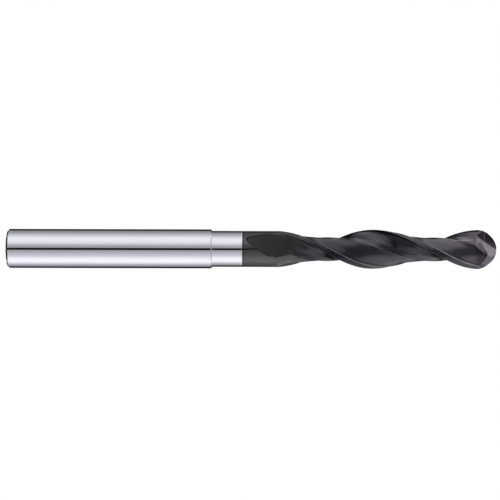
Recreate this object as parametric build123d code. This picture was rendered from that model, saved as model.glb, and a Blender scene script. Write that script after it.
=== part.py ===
from build123d import *
import os
from math import cos, hypot, pi, radians, sin, sqrt, tan

# A two-flute ball nose end mill. Millimetres and degrees.
# The tool's axis is +X and its ball end is at +X. The origin is the centre of the shank's rear face.

# Driving dimensions
CUT_RADIUS = 4.0
SHANK_RADIUS = 4.0
OVERALL_LENGTH = 100.0
SHANK_LENGTH = 41.75
NECK_RADIUS = 3.68
REAR_CHAMFER = 0.4
SHOULDER_CHAMFER = 0.15

# The brazed joint between the steel shank and the carbide head
SEAM_START = 47.75
SEAM_WIDTH = 0.22
TENON_RADIUS = 2.5
TENON_LENGTH = 8.0
TENON_CHAMFER = 0.4
BRAZE_FILM = 0.08

# Flutes
HELIX_ANGLE = 30.0
FLUTES = 2
EDGE_ON_TOP_AT = 96.3          # X where the first cutting edge stands at the top of the tool
RUN_OUT_TIP = 48.7             # X where the flute has risen to the neck's surface
RUN_OUT_END = 59.8             # X where the flute has its full depth
BACK_START, BACK_END = 54.0, 59.8   # X range over which the tooth's back sinks to its full depth
TAPER_START, TAPER_END = 56.8, 61.4   # X range over which the head widens from neck to cutting radius

# One tooth and flute in section: angles trail behind the cutting edge, radii are shares of CUT_RADIUS
LAND = [(0.0, 1.0), (1.5, 1.0), (6.0, 0.985), (18.0, 0.915)]   # margin, primary and secondary relief
BACK = [(20.5, 0.868), (25.0, 0.815), (31.0, 0.769), (39.0, 0.723), (48.0, 0.687), (57.0, 0.659),
        (65.0, 0.637), (74.0, 0.616), (82.0, 0.600), (90.0, 0.592), (97.0, 0.597), (101.0, 0.603),
        (104.2, 0.6107)]
FLOOR_ANGLE = 127.4            # direction of the flat floor's normal
FLOOR_DISTANCE = 0.5614        # the flat floor's distance from the axis
FLOOR = [108.0, 113.0, 118.0, 124.0, 130.0, 136.0, 142.0, 148.0]
RAKE = [(153.0, 0.625), (158.1, 0.664), (165.0, 0.732), (170.7, 0.808), (175.3, 0.890), (178.3, 0.955)]
# Run-out flats at several X: direction of the flat's normal, from +Y towards +Z, and distance from the axis
RUN_OUT_NORMAL = [(RUN_OUT_TIP, 146.2), (50.85, 155.0), (53.25, 163.0), (55.0, 165.5), (56.5, 172.0),
                  (58.2, 185.0), (RUN_OUT_END, 200.7)]
RUN_OUT_DISTANCE = [(RUN_OUT_TIP, NECK_RADIUS), (50.85, 3.36), (53.25, 2.80), (55.0, 2.76), (56.5, 2.72),
                    (58.2, 2.54), (RUN_OUT_END, CUT_RADIUS * FLOOR_DISTANCE)]
RUN_OUT_PASSED = RUN_OUT_END + 2.0   # X beyond which the run-out no longer touches the section
OUTSIDE = 0.12                 # how far an uncut section stands outside the neck
FAR_OUT = 5.6                  # radius well outside the head
BELOW_BACK = 0.4               # how far the sinking back would pass below the full section
SOFTENING = 0.05               # rounding between the run-out and the full section

# Ball end
BALL_CENTRE = OVERALL_LENGTH - CUT_RADIUS
BALL_RELIEF = [(0.0, 1.0), (1.5, 1.0), (6.0, 0.985), (18.0, 0.935), (60.0, 0.885), (120.0, 0.85),
               (161.0, 0.83), (172.0, 0.87), (180.0, 1.0)]   # the ball's surface, as shares of its radius
BALL_SECTIONS = [7.0 * i for i in range(13)]   # places on the ball, as angles from its centre
GASH_DIRECTION = 97.0          # where the straight end of the first cutting edge points
GASH_SLOPE = 36.0              # the gash's root to the axis
GASH_OPENING = 131.0
HALF_WEB = 0.11                # half of the web left between the two gashes
GASH_SIZE = 9.0
ENVELOPE_MARGIN = 1.0          # how far the turned envelope passes the tip

LEAD = 2 * pi * CUT_RADIUS / tan(radians(HELIX_ANGLE))
PITCH_ANGLE = 360.0 / FLUTES
SECTION_START = RUN_OUT_TIP - 0.35
RUN_OUT_SECTIONS = 24
HELIX_SECTIONS = 34


def edge_angle(x):
    """Direction of the first cutting edge at x, from +Y towards +Z."""
    return 90.0 + 360.0 * (x - EDGE_ON_TOP_AT) / LEAD


def smooth_step(t):
    t = min(max(t, 0.0), 1.0)
    return t * t * (3.0 - 2.0 * t)


def larger(a, b):
    """The larger of two radii, rounded where they cross."""
    return (a + b + hypot(a - b, SOFTENING)) / 2.0


def run_out_radius(angle, x):
    """Radius of the two opposite sloping flats along which the flutes leave the neck."""
    normal = between(RUN_OUT_NORMAL, x)
    distance = between(RUN_OUT_DISTANCE, x)
    lean = max(abs(cos(radians(edge_angle(x) - angle - normal))), distance / FAR_OUT)
    return distance / lean


def back_radius(radius, x):
    """Radius of the tooth's back while it sinks from the neck's surface to its full depth."""
    sunk = smooth_step((x - BACK_START) / (BACK_END - BACK_START))
    return (NECK_RADIUS + OUTSIDE) * (1.0 - sunk) + (radius - BELOW_BACK) * sunk


def between(table, angle):
    """A table's value at an angle, straight between its entries."""
    for (a, low), (b, high) in zip(table, table[1:]):
        if angle <= b:
            return low + (high - low) * (angle - a) / (b - a)
    return table[-1][1]


def cut_radius(angle, radius, x):
    """Radius of the tool's surface at one angle of the section at x."""
    if x < RUN_OUT_PASSED:
        cut = min(run_out_radius(angle, x), back_radius(radius, x))
        return min(larger(radius, cut), FAR_OUT)
    if x > BALL_CENTRE:
        ball = sqrt(CUT_RADIUS ** 2 - (x - BALL_CENTRE) ** 2) * between(BALL_RELIEF, angle)
        on_land = angle <= LAND[-1][0] or angle >= PITCH_ANGLE
        return ball if on_land else radius + ball - larger(radius, ball)
    return radius


def section_point(angle, share, x):
    """A point of the first tooth's section, in the plane of the section."""
    direction = radians(edge_angle(x) - angle)
    radius = cut_radius(angle, share * CUT_RADIUS, x)
    return Vector(x, radius * cos(direction), radius * sin(direction))


def shares_of_length(pairs):
    """How far along the full section each point lies, from 0 to 1."""
    places = [(r * cos(radians(a)), r * sin(radians(a))) for a, r in pairs]
    lengths = [hypot(q[0] - p[0], q[1] - p[1]) for p, q in zip(places, places[1:])]
    return [sum(lengths[:i]) / sum(lengths) for i in range(len(pairs))]


def curve(pairs, x):
    """A smooth edge through points of the section, with the same knots at every x."""
    points = [section_point(a, r, x) for a, r in pairs]
    return Edge.make_spline(points, parameters=shares_of_length(pairs))


def section(x):
    """The closed outline of the fluted bar at x."""
    floor = [(a, FLOOR_DISTANCE / cos(radians(a - FLOOR_ANGLE))) for a in FLOOR]
    edges = []
    for tooth in range(FLUTES):
        turn = Rotation(PITCH_ANGLE * tooth, 0, 0)
        half = [Line(section_point(*a, x), section_point(*b, x)) for a, b in zip(LAND, LAND[1:])]
        half.append(curve(LAND[-1:] + BACK, x))
        half.append(curve(BACK[-1:] + floor + RAKE + [(PITCH_ANGLE, 1.0)], x))
        edges += [turn * edge for edge in half]
    return Wire(edges)


def fluted_bar():
    """The bar with the flutes' section all along, twisted by the helix."""
    run_out_step = (RUN_OUT_END - SECTION_START) / RUN_OUT_SECTIONS
    helix_step = (BALL_CENTRE - RUN_OUT_END) / HELIX_SECTIONS
    places = [SECTION_START + run_out_step * i for i in range(RUN_OUT_SECTIONS)]
    places += [RUN_OUT_END + helix_step * i for i in range(HELIX_SECTIONS)]
    places += [BALL_CENTRE + CUT_RADIUS * sin(radians(a)) for a in BALL_SECTIONS]
    return Solid.make_loft([section(x) for x in places])


def revolved(outline):
    """A turned solid from (x, radius) points."""
    face = make_face(Polyline(*outline, close=True))
    return revolve(face, Axis.X, 360)


def gash(tooth):
    """The notch that carries the straight end of one cutting edge to the middle of the ball."""
    slope = radians(GASH_SLOPE)
    root_line = Vector(cos(slope), 0, -sin(slope))
    up_the_rake = Vector(sin(slope), 0, cos(slope))
    place = Plane(origin=(OVERALL_LENGTH, -HALF_WEB, 0), x_dir=up_the_rake, z_dir=root_line)
    opening = radians(GASH_OPENING)
    across_x = GASH_SIZE * cos(opening)
    across_y = GASH_SIZE * sin(opening)
    corners = [(0, 0), (GASH_SIZE, 0), (GASH_SIZE + across_x, across_y), (across_x, across_y)]
    notch = extrude(place * make_face(Polyline(*corners, close=True)), GASH_SIZE, both=True)
    return Rotation(GASH_DIRECTION - 90.0 + PITCH_ANGLE * tooth, 0, 0) * notch


def make_cutting_head():
    """Coated carbide head: tenon, plain collar, two helical flutes and the ball end."""
    body_start = SEAM_START + SEAM_WIDTH
    envelope_end = OVERALL_LENGTH + ENVELOPE_MARGIN
    widening = (CUT_RADIUS - NECK_RADIUS) / (TAPER_END - TAPER_START)
    envelope = revolved([
        (SECTION_START, 0), (SECTION_START, NECK_RADIUS), (TAPER_START, NECK_RADIUS),
        (envelope_end, NECK_RADIUS + widening * (envelope_end - TAPER_START)), (envelope_end, 0),
    ])
    head = envelope & fluted_bar()
    for tooth in range(FLUTES):
        head -= gash(tooth)
    tenon_end = SEAM_START - TENON_LENGTH
    head += revolved([
        (tenon_end, 0), (tenon_end, TENON_RADIUS - TENON_CHAMFER), (tenon_end + TENON_CHAMFER, TENON_RADIUS),
        (body_start, TENON_RADIUS), (body_start, NECK_RADIUS), (SECTION_START, NECK_RADIUS),
        (SECTION_START, 0),
    ])
    return head


def make_shank():
    """Ground steel shank with its neck and the socket for the head's tenon."""
    socket_radius = TENON_RADIUS + BRAZE_FILM
    socket_end = SEAM_START - TENON_LENGTH - BRAZE_FILM
    return revolved([
        (0, 0), (0, SHANK_RADIUS - REAR_CHAMFER), (REAR_CHAMFER, SHANK_RADIUS),
        (SHANK_LENGTH - SHOULDER_CHAMFER, SHANK_RADIUS), (SHANK_LENGTH, SHANK_RADIUS - SHOULDER_CHAMFER),
        (SHANK_LENGTH, NECK_RADIUS), (SEAM_START, NECK_RADIUS), (SEAM_START, socket_radius),
        (socket_end, socket_radius), (socket_end, 0),
    ])


def make_braze_filler():
    """The silver braze: a thin cup round the tenon and a ring that shows at the seam."""
    tenon_end = SEAM_START - TENON_LENGTH
    film_end = tenon_end - BRAZE_FILM
    outer = TENON_RADIUS + BRAZE_FILM
    return revolved([
        (film_end, 0), (film_end, outer), (SEAM_START, outer), (SEAM_START, NECK_RADIUS),
        (SEAM_START + SEAM_WIDTH, NECK_RADIUS), (SEAM_START + SEAM_WIDTH, TENON_RADIUS),
        (tenon_end + TENON_CHAMFER, TENON_RADIUS), (tenon_end, TENON_RADIUS - TENON_CHAMFER), (tenon_end, 0),
    ])


os.makedirs("parts", exist_ok=True)
for node, make in (("shank", make_shank), ("braze_filler", make_braze_filler),
                   ("cutting_head", make_cutting_head)):
    solid = make()
    export_step(solid, f"parts/{node}.step")
    print(node, "volume", round(solid.volume, 3), "valid", solid.is_valid)
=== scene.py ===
import math
from types import SimpleNamespace

import bpy
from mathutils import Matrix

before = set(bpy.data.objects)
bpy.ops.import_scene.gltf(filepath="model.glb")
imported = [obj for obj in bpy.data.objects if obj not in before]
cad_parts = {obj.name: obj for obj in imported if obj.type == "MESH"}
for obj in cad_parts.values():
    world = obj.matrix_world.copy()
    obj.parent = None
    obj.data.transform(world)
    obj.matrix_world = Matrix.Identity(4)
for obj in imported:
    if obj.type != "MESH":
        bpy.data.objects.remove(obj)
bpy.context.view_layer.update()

MM = 0.001


# ---- small helpers -------------------------------------------------------------------------


def linear(tone):
    """Linear light for a display tone from 0 to 255."""
    value = tone / 255.0
    if value <= 0.04045:
        return value / 12.92
    return ((value + 0.055) / 1.055) ** 2.4


def new_material(name):
    """An empty node material, its tree and its output node."""
    material = bpy.data.materials.new(name)
    material.use_nodes = True
    tree = material.node_tree
    tree.nodes.clear()
    output = tree.nodes.new("ShaderNodeOutputMaterial")
    return material, tree, output


def add(tree, kind, links=None, values=None, **settings):
    """Adds a node, sets its properties and input values, and links its inputs to sockets."""
    made = tree.nodes.new(kind)
    for name, value in settings.items():
        setattr(made, name, value)
    for name, value in (values or {}).items():
        made.inputs[name].default_value = value
    for name, socket in (links or {}).items():
        tree.links.new(socket, made.inputs[name])
    return made


def connect(tree, operand, socket):
    """Links a socket, or writes a number or a colour of three numbers, into an input."""
    if isinstance(operand, (int, float)):
        socket.default_value = operand
    elif isinstance(operand, tuple):
        socket.default_value = (*operand, 1.0)
    else:
        tree.links.new(operand, socket)


def math_node(tree, operation, first, second=0.0):
    """The output of one Math node. Each operand is a socket or a number."""
    made = tree.nodes.new("ShaderNodeMath")
    made.operation = operation
    connect(tree, first, made.inputs[0])
    connect(tree, second, made.inputs[1])
    return made.outputs[0]


def product(tree, *factors):
    """All the factors multiplied together."""
    result = factors[0]
    for factor in factors[1:]:
        result = math_node(tree, "MULTIPLY", result, factor)
    return result


def either(tree, first, second):
    """A mask that is set where one of two masks is."""
    return math_node(tree, "MAXIMUM", first, second)


def inverse(tree, mask):
    """1 where the mask is 0, and 0 where it is 1."""
    return math_node(tree, "SUBTRACT", 1.0, mask)


def remap(tree, socket, low, high, to_low, to_high):
    """socket going from low to high, turned into to_low to to_high."""
    made = add(tree, "ShaderNodeMapRange", {"Value": socket})
    for name, value in (("From Min", low), ("From Max", high), ("To Min", to_low), ("To Max", to_high)):
        made.inputs[name].default_value = value
    return made.outputs["Result"]


def fade_in(tree, socket, low, high):
    """0 up to low, rising to 1 at high."""
    return remap(tree, socket, low, high, 0.0, 1.0)


def fade_out(tree, socket, low, high):
    """1 up to low, falling to 0 at high."""
    return remap(tree, socket, low, high, 1.0, 0.0)


def band(tree, socket, low, high, softness):
    """1 between low and high, falling to 0 over softness on either side."""
    rise = fade_in(tree, socket, low - softness, low)
    fall = fade_out(tree, socket, high, high + softness)
    return product(tree, rise, fall)


def mix(tree, factor, first, second, data_type, socket_type):
    """first where factor is 0 and second where it is 1."""
    made = add(tree, "ShaderNodeMix", {"Factor": factor}, data_type=data_type)
    for name, operand in (("A", first), ("B", second)):
        socket = next(s for s in made.inputs if s.name == name and s.type == socket_type)
        connect(tree, operand, socket)
    return next(s for s in made.outputs if s.type == socket_type)


def mix_number(tree, factor, first, second):
    return mix(tree, factor, first, second, "FLOAT", "VALUE")


def mix_colour(tree, factor, first, second):
    return mix(tree, factor, first, second, "RGBA", "RGBA")


def layered(tree, mixer, base, layers):
    """base, with each (mask, value) laid over what comes before it."""
    result = base
    for mask, value in layers:
        result = mixer(tree, mask, result, value)
    return result


def profile(tree, socket, points):
    """A curve of straight pieces through the (input, output) points."""
    places = [place for place, value in points]
    values = [value for place, value in points]
    low, high = min(values), max(values)
    fraction = fade_in(tree, socket, places[0], places[-1])
    ramp = add(tree, "ShaderNodeValToRGB", {"Fac": fraction})
    stops = ramp.color_ramp.elements
    while len(stops) > 1:
        stops.remove(stops[-1])
    for index, (place, value) in enumerate(points):
        position = (place - places[0]) / (places[-1] - places[0])
        stop = stops[0] if index == 0 else stops.new(position)
        stop.position = position
        level = (value - low) / (high - low)
        stop.color = (level, level, level, 1.0)
    return remap(tree, ramp.outputs["Color"], 0.0, 1.0, low, high)


def noise(tree, coordinates, scale, detail=2.0, roughness=0.5):
    """A noise value, about 0.5 on average, from coordinates stretched by the three numbers in scale."""
    stretched = add(tree, "ShaderNodeVectorMath", {0: coordinates}, {1: scale}, operation="MULTIPLY")
    made = add(
        tree,
        "ShaderNodeTexNoise",
        {"Vector": stretched.outputs[0]},
        {"Scale": 1.0, "Detail": detail, "Roughness": roughness},
    )
    return made.outputs["Fac"]


def object_coordinates(tree):
    return tree.nodes.new("ShaderNodeTexCoord").outputs["Object"]


def principled(tree, output, links, values):
    """The surface shader, linked to the material's output."""
    surface = add(tree, "ShaderNodeBsdfPrincipled", links, values)
    tree.links.new(surface.outputs[0], output.inputs["Surface"])


# ---- the light tent ------------------------------------------------------------------------

# Display tone that polished steel shows for each direction round the tool's axis, in degrees:
# 0 is level to the front (-Y), 90 straight up, -90 straight down.
TENT_TONES = [
    (-180, 118), (-168, 96), (-161, 14), (-143, 14), (-136, 60), (-130, 116), (-122, 154), (-108, 178),
    (-92, 232), (-78, 252), (-62, 244), (-42, 202), (-14, 160), (-3, 146), (16, 162), (34, 220), (50, 236),
    (66, 233), (84, 200), (104, 160), (120, 142), (127, 128), (132, 96), (137, 40), (143, 12), (161, 12),
    (168, 96), (180, 118),
]
# The same beyond the middle of the tube, which is what the fluted head shows
FAR_TONES = [
    (-180, 118), (-170, 96), (-161, 14), (-150, 120), (-125, 222), (-100, 214), (-70, 216), (-45, 212),
    (-30, 205), (0, 190), (30, 200), (60, 224), (90, 232), (125, 226), (144, 120), (154, 12), (162, 12),
    (170, 96), (180, 118),
]
STEEL_REFLECTS = 0.9               # the share of light that polished steel gives back
MIDDLE = (-0.15, 0.012, 0.02)      # along the tube, in metres: from, to, and how soft the ends are

# A dark slit level with the tool, along the middle: directions, and the share of light it takes away
SLIT = (-7.5, 3.5, 1.5)
SLIT_DEPTH = 0.985

# A dark panel beyond the middle: place along the tube, then its edges in degrees, or its depth
PANEL_TOP = [(-0.8, 8), (-0.16, 5), (0.03, 41), (0.13, 57), (0.24, 25), (0.30, 28), (0.42, 68), (0.8, 72)]
PANEL_BOTTOM = [
    (-0.8, -53), (-0.16, -75), (0.03, -75), (0.09, -59), (0.15, -27), (0.26, -19), (0.38, 5), (0.8, 12),
]
PANEL_DEPTH = [
    (-0.8, 0.3), (-0.36, 0.35), (-0.3, 0.6), (-0.16, 0.7), (0.03, 0.74), (0.27, 0.72), (0.42, 0.6),
    (0.8, 0.3),
]
PANEL_SOFTNESS = 14.0

# A dimmer stretch overhead towards the shank's end, and a lamp overhead beyond the ball
OVERHEAD = (15.0, 140.0, 15.0)
OVERHEAD_DEPTH = [(-0.8, 0.2), (-0.56, 0.45), (-0.46, 0.9), (-0.37, 0.95), (-0.3, 0.0), (0.8, 0.0)]
LAMP_DIRECTIONS = (84.0, 108.0, 8.0)
LAMP_PLACES = (0.60, 0.78, 0.04)
LAMP_GAIN = 1.75

TENT_CENTRE = 0.05
TENT_RADIUS = 0.6
TENT_HALF_LENGTH = 0.8
TENT_SEGMENTS = 96
TENT_END_LIGHTS = (0.03, 0.35)     # behind the shank's end, and beyond the ball
DEGREES = 180.0 / math.pi


def wall_coordinates(tree):
    """Sockets: place along the tube in metres, and direction round it in degrees."""
    parts = add(tree, "ShaderNodeSeparateXYZ", {"Vector": object_coordinates(tree)}).outputs
    front = product(tree, parts["Y"], -1.0)
    turn = math_node(tree, "ARCTAN2", parts["Z"], front)
    return parts["X"], product(tree, turn, DEGREES)


def reflected_light(tree, angle, tones):
    """The wall's light in each direction, from the tones that steel should show."""
    return profile(tree, angle, [(direction, linear(tone) / STEEL_REFLECTS) for direction, tone in tones])


def dark_panel(tree, along, angle):
    below_top = math_node(tree, "SUBTRACT", profile(tree, along, PANEL_TOP), angle)
    above_bottom = math_node(tree, "SUBTRACT", angle, profile(tree, along, PANEL_BOTTOM))
    inside = [fade_in(tree, distance, -PANEL_SOFTNESS, 0.0) for distance in (below_top, above_bottom)]
    return product(tree, *inside, profile(tree, along, PANEL_DEPTH))


def tent_wall_material():
    """Light that changes round and along the tube, with a dark slit and a wide dark panel."""
    material, tree, output = new_material("tent_wall_light")
    along, angle = wall_coordinates(tree)
    middle = band(tree, along, *MIDDLE)
    far_light = reflected_light(tree, angle, FAR_TONES)
    level = mix_number(tree, middle, far_light, reflected_light(tree, angle, TENT_TONES))
    slit = product(tree, band(tree, angle, *SLIT), middle, SLIT_DEPTH)
    panel = product(tree, dark_panel(tree, along, angle), inverse(tree, middle))
    overhead = product(tree, band(tree, angle, *OVERHEAD), profile(tree, along, OVERHEAD_DEPTH))
    for dark in (slit, panel, overhead):
        level = product(tree, level, inverse(tree, dark))
    lamp = product(tree, band(tree, angle, *LAMP_DIRECTIONS), band(tree, along, *LAMP_PLACES))
    strength = product(tree, level, remap(tree, lamp, 0.0, 1.0, 1.0, LAMP_GAIN))
    light = add(tree, "ShaderNodeEmission", {"Strength": strength})
    tree.links.new(light.outputs[0], output.inputs["Surface"])
    return material


def plain_light_material(name, strength):
    material, tree, output = new_material(name)
    light = add(tree, "ShaderNodeEmission", values={"Strength": strength})
    tree.links.new(light.outputs[0], output.inputs["Surface"])
    return material


def add_object(name, vertices, faces, material):
    mesh = bpy.data.meshes.new(name)
    mesh.from_pydata(vertices, [], faces)
    mesh.materials.append(material)
    made = bpy.data.objects.new(name, mesh)
    bpy.context.scene.collection.objects.link(made)
    return made


def tent_ring(x):
    """The points of one end of the tube."""
    turns = [2.0 * math.pi * step / TENT_SEGMENTS for step in range(TENT_SEGMENTS)]
    return [(x, TENT_RADIUS * math.cos(turn), TENT_RADIUS * math.sin(turn)) for turn in turns]


def make_tent():
    """A tube of soft light round the tool, closed by two dim ends. The camera doesn't see it."""
    rings = [tent_ring(-TENT_HALF_LENGTH), tent_ring(TENT_HALF_LENGTH)]
    count = TENT_SEGMENTS
    wall_faces = [(i, (i + 1) % count, count + (i + 1) % count, count + i) for i in range(count)]
    tent = [add_object("tent_wall", rings[0] + rings[1], wall_faces, tent_wall_material())]
    for index, (ring, strength) in enumerate(zip(rings, TENT_END_LIGHTS)):
        end_material = plain_light_material(f"tent_end_light_{index}", strength)
        tent.append(add_object(f"tent_end_{index}", ring, [tuple(range(count))], end_material))
    for made in tent:
        made.location = (TENT_CENTRE, 0.0, 0.0)
        made.visible_camera = False
        made.visible_shadow = False


FLOOR_HALF_SIZE = 6.0
FLOOR_HEIGHT = -4.0 * MM


def make_floor():
    """A white light table under the tool. It is seen, but lights nothing and is not reflected."""
    size = FLOOR_HALF_SIZE
    corners = [(-size, -size, 0.0), (size, -size, 0.0), (size, size, 0.0), (-size, size, 0.0)]
    floor = add_object("floor", corners, [(0, 1, 2, 3)], plain_light_material("white_floor", 1.0))
    floor.location = (0.0, 0.0, FLOOR_HEIGHT)
    floor.visible_diffuse = False
    floor.visible_glossy = False
    floor.visible_transmission = False
    floor.visible_shadow = False


def make_world():
    world = bpy.data.worlds.new("white")
    world.use_nodes = True
    background = world.node_tree.nodes["Background"]
    background.inputs["Color"].default_value = (1.0, 1.0, 1.0, 1.0)
    background.inputs["Strength"].default_value = 1.0
    bpy.context.scene.world = world


# ---- the camera ----------------------------------------------------------------------------

# Metres and degrees. The aim is a place along the tool and a height.
CAMERA_DISTANCE = 0.335
FRAME_WIDTH = 0.10242
SENSOR_WIDTH = 36.0
AIM = (0.04955, -0.00021)
ROLL = -0.14
CLIPPING = (0.01, 50.0)


def make_camera():
    data = bpy.data.cameras.new("camera")
    data.sensor_width = SENSOR_WIDTH
    data.lens = SENSOR_WIDTH * CAMERA_DISTANCE / FRAME_WIDTH
    data.clip_start, data.clip_end = CLIPPING
    camera = bpy.data.objects.new("camera", data)
    camera.location = (AIM[0], -CAMERA_DISTANCE, AIM[1])
    camera.rotation_euler = (math.radians(90.0), math.radians(ROLL), 0.0)
    bpy.context.scene.collection.objects.link(camera)
    bpy.context.scene.camera = camera


# ---- the shank's steel and the braze -------------------------------------------------------

FREQUENT = (0.3, 0.7)              # where most values of a noise lie
STEEL_RINGS = (9000.0, 260.0, 260.0)
STEEL_BANDS = (700.0, 20.0, 20.0)
STEEL_COLOURS = ((0.86, 0.86, 0.975), (0.90, 0.90, 1.0))
STEEL_ROUGHNESS = (0.045, 0.085)
STEEL_RELIEF = {"Strength": 0.06, "Distance": 0.01 * MM}
BRAZE_GRAIN = (6000.0, 1500.0, 1500.0)
BRAZE_COLOUR = (0.95, 0.94, 0.91, 1.0)
BRAZE_ROUGHNESS = (0.16, 0.26)


def ground_steel():
    """Bright steel with fine rings from cylindrical grinding."""
    material, tree, output = new_material("ground_steel")
    where = object_coordinates(tree)
    rings = noise(tree, where, STEEL_RINGS, detail=3.0, roughness=0.6)
    bands = noise(tree, where, STEEL_BANDS)
    relief = add(tree, "ShaderNodeBump", {"Height": rings}, STEEL_RELIEF)
    links = {
        "Base Color": mix_colour(tree, bands, *STEEL_COLOURS),
        "Roughness": remap(tree, rings, *FREQUENT, *STEEL_ROUGHNESS),
        "Normal": relief.outputs[0],
    }
    principled(tree, output, links, {"Metallic": 1.0})
    return material


def silver_braze():
    """The bright seam between the steel and the coating."""
    material, tree, output = new_material("silver_braze")
    grain = noise(tree, object_coordinates(tree), BRAZE_GRAIN)
    roughness = remap(tree, grain, *FREQUENT, *BRAZE_ROUGHNESS)
    principled(tree, output, {"Roughness": roughness}, {"Metallic": 1.0, "Base Color": BRAZE_COLOUR})
    return material


# ---- the coated head -----------------------------------------------------------------------

# The head's own twisted coordinates, as in the CAD source. Below, lengths are in millimetres, places
# along the tool are measured from the shank's rear face, and trailing is in degrees behind the nearer
# cutting edge. A pair is where a fade starts and ends. A triple is a band: from, to, softness.
CUT_RADIUS = 4.0
NECK_RADIUS = 3.68
HELIX_ANGLE = 30.0
HELIX_LEAD = 2.0 * math.pi * CUT_RADIUS / math.tan(math.radians(HELIX_ANGLE))
EDGE_ON_TOP_AT = 96.3
BALL_CENTRE = 96.0

# The collar and the run-outs
START_LINE_ENDS = (48.16, 48.24)   # the dark line at the coating's edge
FLUTES_BEGIN = (57.5, 61.5)
SUNK_RADIUS = (NECK_RADIUS - 0.040, NECK_RADIUS - 0.012)
BACK_SIDE = (30.0, 92.0, 4.0)      # directions from +Y towards +Z, in degrees
BACK_BEGINS = (53.0, 53.8)
# painted shade along the rim of the leaf, where its wall drops from the neck
LEAF_RIM_RADIUS = (NECK_RADIUS - 0.045, NECK_RADIUS - 0.010, 0.006)
LEAF_RIM_ENDS = (53.2, 53.8)

# The lands and flutes, by degrees trailing the edge
LAND = (0.0, 18.0, 0.3)
# The heel and margin lines carry painted highlights along the heel and the cutting edge.
HEEL_LINE = (17.2, 19.4, 0.8)
MARGIN_LINE = (-1.0, 0.8, 0.5)
# a band of painted shade just behind the heel line
BEHIND_HEEL = (20.6, 25.0, 1.0)
# painted shade just under the cutting edge, ending where the ball begins
UNDER_EDGE = (175.8, 179.0, 0.7)
UNDER_EDGE_ENDS = (96.2, 96.6)
RAKE = (146.0, 174.0, 8.0)
RAKE_PLACES = (79.0, 85.5, 2.5)
EDGES_BRIGHTEN = (64.0, 84.0, 0.35, 1.0)     # from, to, and how bright at each
# how much the painted edge highlights vary with the mottling
EDGE_HIGHLIGHT_SPREAD = (0.55, 1.0)
EDGE_METAL = 0.8

# The ball: the painted highlight of the lens on its rake, by height above the axis, the painted shade round
# its rim, and the ground end with the painted highlight of its crescent and the painted shade of its notch
BALL_RAKE = (96.0, 172.0, 3.0)
BALL_RAKE_PLACES = (89.6, 94.7, 0.5)
# where the lens's painted highlight begins, its painted bright line, and the glossier band under it
LENS_BEGINS = (1.82, 1.90)
LENS_LINE = (1.78, 1.93, 0.05)
UNDER_LENS = (1.50, 1.66, 0.06)
# painted shade round the ball's rim: distance from its centre, height above the axis, and where it begins
RIM_RADIUS = (CUT_RADIUS - 0.22, CUT_RADIUS - 0.12)
RIM_HEIGHT = (0.3, 0.8)
RIM_BEGINS = (95.4, 96.0)
GROUND_END_BEGINS = (94.9, 96.3)
GROUND_END_TOP = (1.0, 1.7)
# where the painted highlight of the crescent begins: height above the axis, and place along it
CRESCENT_EDGE = [
    (-4.0, 96.3), (-2.9, 96.8), (-2.1, 97.4), (-0.88, 97.95), (0.2, 97.35), (1.2, 96.9), (4.0, 96.3),
]
CRESCENT_SOFTNESS = (-0.05, 0.06)
# painted shade of the notch in the ground end: depth past the crescent's edge, and height
NOTCH_SHADE_DEPTH = (-0.26, -0.06, 0.08)
NOTCH_SHADE_HEIGHT = (-1.45, -0.35, 0.4)

# Colours; a pair is mottled or lined between the two
COLLAR_COLOURS = ((0.034, 0.038, 0.039), (0.046, 0.050, 0.051))
FLUTE_COLOURS = ((0.008, 0.006, 0.012), (0.016, 0.013, 0.021))
LEAF_COLOURS = ((0.022, 0.018, 0.021), (0.030, 0.025, 0.028))
# The lens, crescent, bright edge and lens line colours are painted highlights.
LENS_HIGHLIGHT_COLOURS = ((0.045, 0.036, 0.048), (0.110, 0.094, 0.116))
CRESCENT_HIGHLIGHT_COLOURS = ((0.07, 0.058, 0.073), (0.13, 0.112, 0.136))
EDGE_HIGHLIGHT_COLOUR = (0.46, 0.43, 0.48)
LENS_HIGHLIGHT_LINE_COLOUR = (0.22, 0.20, 0.23)
# Painted shade, except the dark line where the coating starts: along the leaf's rim, behind the heel, under
# the cutting edge, round the ball's rim and in the notch.
RIM_SHADE_AND_START_LINE_COLOUR = (0.003, 0.003, 0.004)
BEHIND_HEEL_SHADE_COLOUR = (0.004, 0.003, 0.006)
PAINTED_SHADE_LINE_COLOUR = (0.001, 0.001, 0.002)

# The reflection's tint changes along the tool
COLLAR_TINT = (0.96, 1.0, 1.0)
FLUTE_TINTS = ((0.44, 0.44, 0.52), (0.96, 0.93, 1.09), (1.06, 0.96, 1.12), (1.42, 1.26, 1.48))
TINT_PLACES = ((66.0, 75.0), (60.0, 92.0), (86.0, 93.0))

MOTTLE = (700.0, 700.0, 700.0)
GRAIN = (5000.0, 5000.0, 5000.0)
GRAIN_SHARE = 0.25                 # of the relief
LINES_ACROSS = 0.9                 # per degree
LINES_ALONG = 0.06                 # per millimetre

COLLAR_ROUGHNESS = 0.09
LEAF_ROUGHNESS = 0.50
FLUTE_ROUGHNESS = (0.12, 0.24)
LAND_ROUGHNESS = 0.10
# roughness of the painted edge highlights
EDGE_HIGHLIGHT_ROUGHNESS = 0.16

# How strongly each stretch reflects. A later one lies over an earlier one.
COLLAR_GLOSS = 0.5
GLOSS = [
    ("leaf", 0.26), ("dark_lines", 0.06), ("rake", 0.24), ("behind_heel", 0.30), ("land", 0.36),
    ("under_lens", 0.30), ("before_crescent", 0.20), ("black_lines", 0.05),
]

CARBIDE_RELIEF = {"Strength": 0.10, "Distance": 0.02 * MM}
COATING_IOR = 1.86


def root_of_squares(tree, first, second):
    """The root of the sum of two squares."""
    total = math_node(tree, "ADD", product(tree, first, first), product(tree, second, second))
    return math_node(tree, "SQRT", total)


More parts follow.
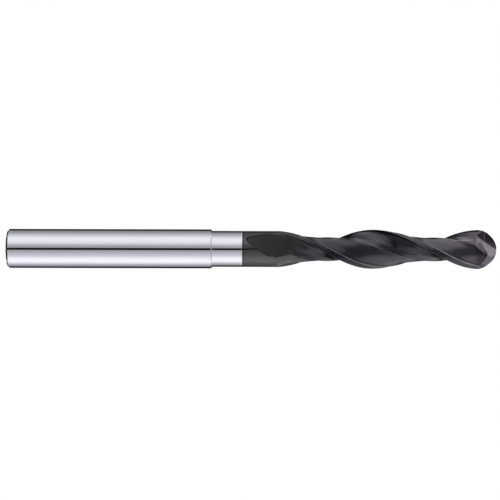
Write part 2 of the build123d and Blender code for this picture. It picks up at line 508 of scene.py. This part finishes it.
def tool_coordinates(tree):
    """Sockets for where a point of the head lies. All but the first are the same after half a turn."""
    where = object_coordinates(tree)
    parts = add(tree, "ShaderNodeSeparateXYZ", {"Vector": where}).outputs
    along, y, z = (product(tree, parts[axis], 1.0 / MM) for axis in "XYZ")
    direction = product(tree, math_node(tree, "ARCTAN2", z, y), DEGREES)
    past_top = math_node(tree, "SUBTRACT", along, EDGE_ON_TOP_AT)
    edge = math_node(tree, "ADD", product(tree, past_top, 360.0 / HELIX_LEAD), 90.0)
    behind = math_node(tree, "SUBTRACT", edge, direction)
    radius = root_of_squares(tree, y, z)
    # the height above the axis on the -Y side, turned over for the opposite tooth on the +Y side
    above = product(tree, z, -1.0, math_node(tree, "SIGN", y))
    return SimpleNamespace(
        where=where,
        along=along,
        radius=radius,
        trailing=math_node(tree, "FLOORED_MODULO", behind, 180.0),
        side=math_node(tree, "FLOORED_MODULO", direction, 180.0),
        above=above,
        from_ball_centre=root_of_squares(tree, math_node(tree, "SUBTRACT", along, BALL_CENTRE), radius),
    )


def textures(tree, at):
    """Mottling, fine grain, and ground lines that follow the helix: fast across it, slow along it."""
    across = product(tree, at.trailing, LINES_ACROSS)
    place = add(tree, "ShaderNodeCombineXYZ", {"X": across, "Y": product(tree, at.along, LINES_ALONG)})
    return SimpleNamespace(
        mottle=noise(tree, at.where, MOTTLE, detail=3.0),
        grain=noise(tree, at.where, GRAIN),
        lines=noise(tree, place.outputs[0], (1.0, 1.0, 1.0), detail=3.0),
    )


def collar_masks(tree, at, fluted):
    """The run-out's leaf on the collar, with painted shade along its rim, and the dark line where the
    coating starts.
    """
    back = product(tree, band(tree, at.side, *BACK_SIDE), fade_in(tree, at.along, *BACK_BEGINS))
    sunk = fade_out(tree, at.radius, *SUNK_RADIUS)
    leaf = product(tree, sunk, inverse(tree, fluted), inverse(tree, back))
    rim = product(tree, band(tree, at.radius, *LEAF_RIM_RADIUS), fade_out(tree, at.along, *LEAF_RIM_ENDS))
    return leaf, either(tree, rim, fade_out(tree, at.along, *START_LINE_ENDS))


def edge_highlight_mask(tree, at, fluted, mottle):
    """The bright lines along the cutting edge and the heel: painted highlights for the edges' catch-light,
    mottled. They grow towards the ball.
    """
    heel = product(tree, band(tree, at.trailing, *HEEL_LINE), fluted)
    margin = product(tree, band(tree, at.trailing, *MARGIN_LINE), fluted)
    highlight_spread = remap(tree, mottle, *FREQUENT, *EDGE_HIGHLIGHT_SPREAD)
    return product(tree, either(tree, heel, margin), highlight_spread, remap(tree, at.along, *EDGES_BRIGHTEN))


def under_edge_shade_mask(tree, at, fluted):
    """Painted shade: the dark line just under the cutting edge, and round the rim of the ball."""
    straight = product(
        tree, band(tree, at.trailing, *UNDER_EDGE), fluted, fade_out(tree, at.along, *UNDER_EDGE_ENDS)
    )
    rim = product(
        tree,
        fade_in(tree, at.from_ball_centre, *RIM_RADIUS),
        fade_in(tree, at.above, *RIM_HEIGHT),
        fade_in(tree, at.along, *RIM_BEGINS),
    )
    return either(tree, straight, rim)


def ball_masks(tree, at):
    """The painted highlight of the lens on the ball's rake with the lines at its edge, and the painted
    highlight of the crescent with the painted shade of its notch.
    """
    rake = product(tree, band(tree, at.along, *BALL_RAKE_PLACES), band(tree, at.trailing, *BALL_RAKE))
    end = fade_in(tree, at.along, *GROUND_END_BEGINS)
    below_gash = product(tree, end, fade_out(tree, at.above, *GROUND_END_TOP))
    past_edge = math_node(tree, "SUBTRACT", at.along, profile(tree, at.above, CRESCENT_EDGE))
    return SimpleNamespace(
        lens=product(tree, rake, fade_in(tree, at.above, *LENS_BEGINS)),
        lens_highlight_line=product(tree, rake, band(tree, at.above, *LENS_LINE)),
        under_lens=product(tree, rake, band(tree, at.above, *UNDER_LENS)),
        crescent=product(tree, below_gash, fade_in(tree, past_edge, *CRESCENT_SOFTNESS)),
        before_crescent=product(tree, below_gash, fade_out(tree, past_edge, *CRESCENT_SOFTNESS)),
        notch_shade=product(tree, band(tree, past_edge, *NOTCH_SHADE_DEPTH), band(tree, at.above, *NOTCH_SHADE_HEIGHT), end),
    )


def head_masks(tree, at, texture):
    """A mask from 0 to 1 for each stretch of the head that has its own finish, or its own painted highlight
    or shade.
    """
    fluted = fade_in(tree, at.along, *FLUTES_BEGIN)
    masks = ball_masks(tree, at)
    masks.fluted = fluted
    masks.leaf, masks.dark_lines = collar_masks(tree, at, fluted)
    masks.land = product(tree, band(tree, at.trailing, *LAND), fluted)
    masks.behind_heel = product(tree, band(tree, at.trailing, *BEHIND_HEEL), fluted)
    masks.rake = product(tree, band(tree, at.trailing, *RAKE), band(tree, at.along, *RAKE_PLACES))
    masks.bright_edges = edge_highlight_mask(tree, at, fluted, texture.mottle)
    # painted shade under the cutting edge, round the ball's rim and in the notch
    masks.black_lines = either(tree, under_edge_shade_mask(tree, at, fluted), masks.notch_shade)
    return masks


def head_colour(tree, masks, texture):
    mottle = texture.mottle
    # painted highlights on the edges, the lens, its line and the crescent; painted shade on the leaf's rim,
    # behind the heel, under the edge, round the ball's rim and in the notch
    layers = [
        (masks.leaf, mix_colour(tree, mottle, *LEAF_COLOURS)),
        (masks.fluted, mix_colour(tree, mottle, *FLUTE_COLOURS)),
        (masks.bright_edges, EDGE_HIGHLIGHT_COLOUR),
        (masks.dark_lines, RIM_SHADE_AND_START_LINE_COLOUR),
        (masks.behind_heel, BEHIND_HEEL_SHADE_COLOUR),
        (masks.lens, mix_colour(tree, texture.lines, *LENS_HIGHLIGHT_COLOURS)),
        (masks.lens_highlight_line, LENS_HIGHLIGHT_LINE_COLOUR),
        (masks.crescent, mix_colour(tree, mottle, *CRESCENT_HIGHLIGHT_COLOURS)),
        (masks.black_lines, PAINTED_SHADE_LINE_COLOUR),
    ]
    return layered(tree, mix_colour, mix_colour(tree, mottle, *COLLAR_COLOURS), layers)


def head_roughness(tree, masks, texture):
    """Satin on the leaf, smooth on the collar and the lands, finely lined in the flutes."""
    flute_roughness = remap(tree, texture.lines, *FREQUENT, *FLUTE_ROUGHNESS)
    layers = [
        (masks.leaf, LEAF_ROUGHNESS),
        (masks.fluted, flute_roughness),
        (masks.land, LAND_ROUGHNESS),
        (masks.bright_edges, EDGE_HIGHLIGHT_ROUGHNESS),
    ]
    return layered(tree, mix_number, COLLAR_ROUGHNESS, layers)


def head_gloss(tree, masks):
    """How strongly each stretch reflects."""
    layers = [(getattr(masks, stretch), gloss) for stretch, gloss in GLOSS]
    return layered(tree, mix_number, COLLAR_GLOSS, layers)


def head_tint(tree, at, masks):
    """The reflection's violet tint, dimmed where the flutes begin and brightened towards the ball."""
    first, middle, last = (fade_in(tree, at.along, *places) for places in TINT_PLACES)
    tint = mix_colour(tree, first, *FLUTE_TINTS[:2])
    tint = mix_colour(tree, masks.fluted, COLLAR_TINT, tint)
    return layered(tree, mix_colour, tint, [(middle, FLUTE_TINTS[2]), (last, FLUTE_TINTS[3])])


def head_relief(tree, masks, texture):
    """Fine ground lines where the head is cut, and fine grain everywhere."""
    ground = product(tree, texture.lines, either(tree, masks.leaf, masks.fluted))
    height = math_node(tree, "ADD", ground, product(tree, texture.grain, GRAIN_SHARE))
    return add(tree, "ShaderNodeBump", {"Height": height}, CARBIDE_RELIEF).outputs[0]


def coated_carbide():
    """Dark violet-grey coating: smooth on the collar, finely lined in the flutes, with painted highlights
    along the edges and on the ball, and painted shade along its dark lines.
    """
    material, tree, output = new_material("coated_carbide")
    at = tool_coordinates(tree)
    texture = textures(tree, at)
    masks = head_masks(tree, at, texture)
    links = {
        "Base Color": head_colour(tree, masks, texture),
        "Roughness": head_roughness(tree, masks, texture),
        "Normal": head_relief(tree, masks, texture),
        # the painted edge highlights are partly metallic
        "Metallic": product(tree, masks.bright_edges, EDGE_METAL),
        "Specular IOR Level": head_gloss(tree, masks),
        "Specular Tint": head_tint(tree, at, masks),
    }
    principled(tree, output, links, {"IOR": COATING_IOR})
    return material


# ---- putting it together -------------------------------------------------------------------


def dress(node, material):
    """Gives a CAD node its finish."""
    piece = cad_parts[node]
    if not piece.material_slots:
        piece.data.materials.append(material)
    for slot in piece.material_slots:
        slot.link = "OBJECT"
        slot.material = material


make_world()
make_floor()
make_tent()
make_camera()
dress("shank", ground_steel())
dress("cutting_head", coated_carbide())
dress("braze_filler", silver_braze())

scene = bpy.context.scene
scene.view_settings.view_transform = "Standard"
scene.view_settings.look = "None"
scene.view_settings.exposure = 0.0
scene.view_settings.gamma = 1.0

bpy.context.view_layer.update()
